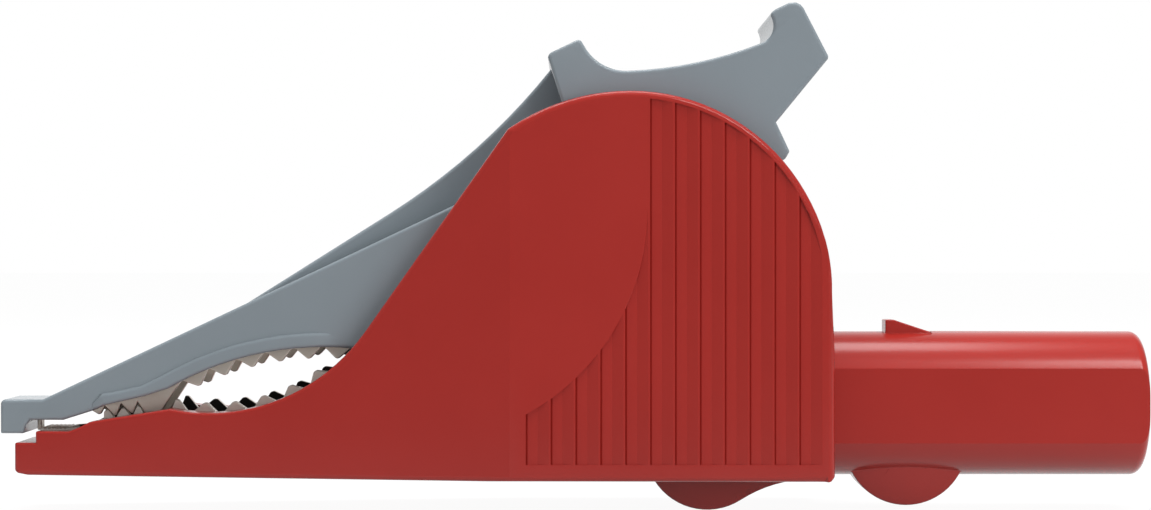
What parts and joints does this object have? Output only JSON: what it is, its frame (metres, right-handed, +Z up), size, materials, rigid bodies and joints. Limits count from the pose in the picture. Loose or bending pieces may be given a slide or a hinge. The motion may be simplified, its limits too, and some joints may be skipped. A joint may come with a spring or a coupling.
{
  "type": "crocodile clip",
  "caption": "Insulated crocodile clip with a sprung lever, toothed jaws that shut flush with the shells, and a rear safety socket for a test lead plug.",
  "frame": {"origin": "centre of the mouth of the plug bore in the metal contact, 2.65 mm inside the end of the sleeve", "axes": "+X out of the plug bore, away from the jaws; +Z up, towards the thumb press; +Y across the clip, along the pivot"},
  "size_m": [0.0949, 0.02, 0.0417],
  "materials": {
    "red_plastic": "satin, moulded",
    "inner_red_plastic": "smooth, moulded",
    "grey_plastic": "satin, moulded",
    "jaw_steel": "pressed and plated",
    "contact_metal": "turned and nickel plated",
    "screw_steel": "zinc plated",
    "spring_steel": "drawn wire",
    "bush_plastic": "smooth, natural"
  },
  "bodies": {
    "body": {"housing": "red_plastic", "socket_sleeve": "red_plastic", "sleeve_retaining_ring": "spring_steel", "socket_insulator": "inner_red_plastic", "contact_socket": "contact_metal", "contact_screw": "screw_steel", "contact_lock_washer": "screw_steel", "lower_jaw": "jaw_steel", "pivot_pin": "screw_steel", "spring_bush": "bush_plastic", "torsion_spring": "spring_steel"},
    "lever": {"lever": "grey_plastic", "upper_jaw": "jaw_steel", "upper_jaw_screws": "screw_steel"}
  },
  "joints": [
    {"name": "lever_pivot", "type": "hinge", "parent": "body", "child": "lever", "pos_m": [-0.04015, 0, 0.00945], "axis": [0, 1, 0], "range_deg": [0, 34], "stiffness_Nm_per_rad": 0.13, "springref_deg": -60.16, "deforming": ["torsion_spring"]}
  ]
}
